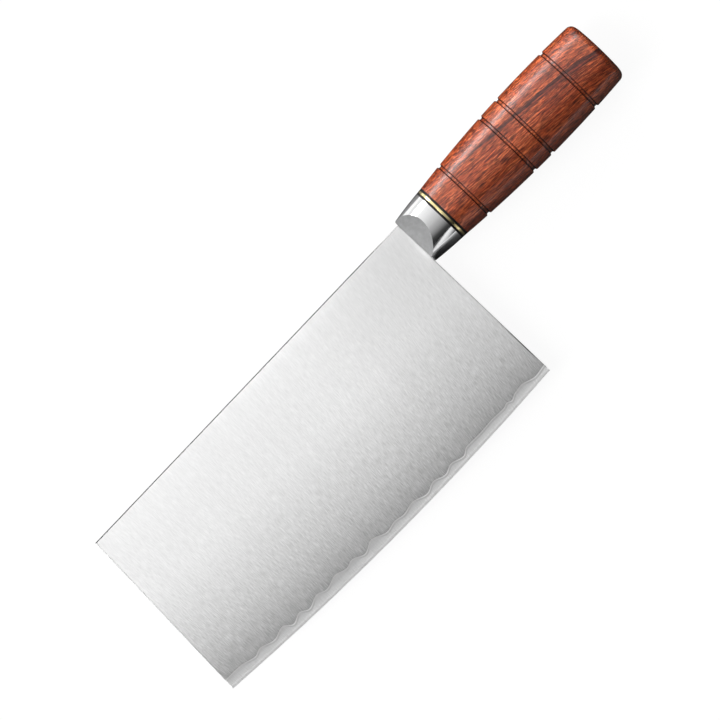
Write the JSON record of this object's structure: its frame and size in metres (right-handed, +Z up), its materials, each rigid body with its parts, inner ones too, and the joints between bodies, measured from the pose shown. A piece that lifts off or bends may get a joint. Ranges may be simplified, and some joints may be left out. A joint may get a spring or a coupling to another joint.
{
  "type": "chinese cleaver",
  "caption": "Wide rectangular clad steel blade with a round turned wooden handle, joined by a steel bolster and a brass ring between black spacers; it lies on its side.",
  "frame": {"origin": "middle of the bounding box at table height; the knife lies on its right face, and the table touches the front of the blade and the swell of the handle", "axes": "+X from the blade towards the butt, +Y from the cutting edge towards the spine, +Z up"},
  "size_m": [0.3148, 0.101, 0.0374],
  "materials": {
    "core_steel": "finely ground hard steel",
    "cladding_steel": "brushed across the blade",
    "bolster_steel": "polished, with a satin facet on each face",
    "black_fibre": "satin black fibre",
    "brass": "polished",
    "rosewood": "lacquered reddish wood with dark streaks",
    "tang_steel": "as rolled",
    "glue": "hardened epoxy"
  },
  "bodies": {
    "root": {"blade_core": "core_steel", "cladding_left": "cladding_steel", "cladding_right": "cladding_steel", "bolster": "bolster_steel", "front_spacer": "black_fibre", "brass_ring": "brass", "rear_spacer": "black_fibre", "handle": "rosewood", "tang": "tang_steel", "tang_epoxy": "glue"}
  },
  "joints": []
}
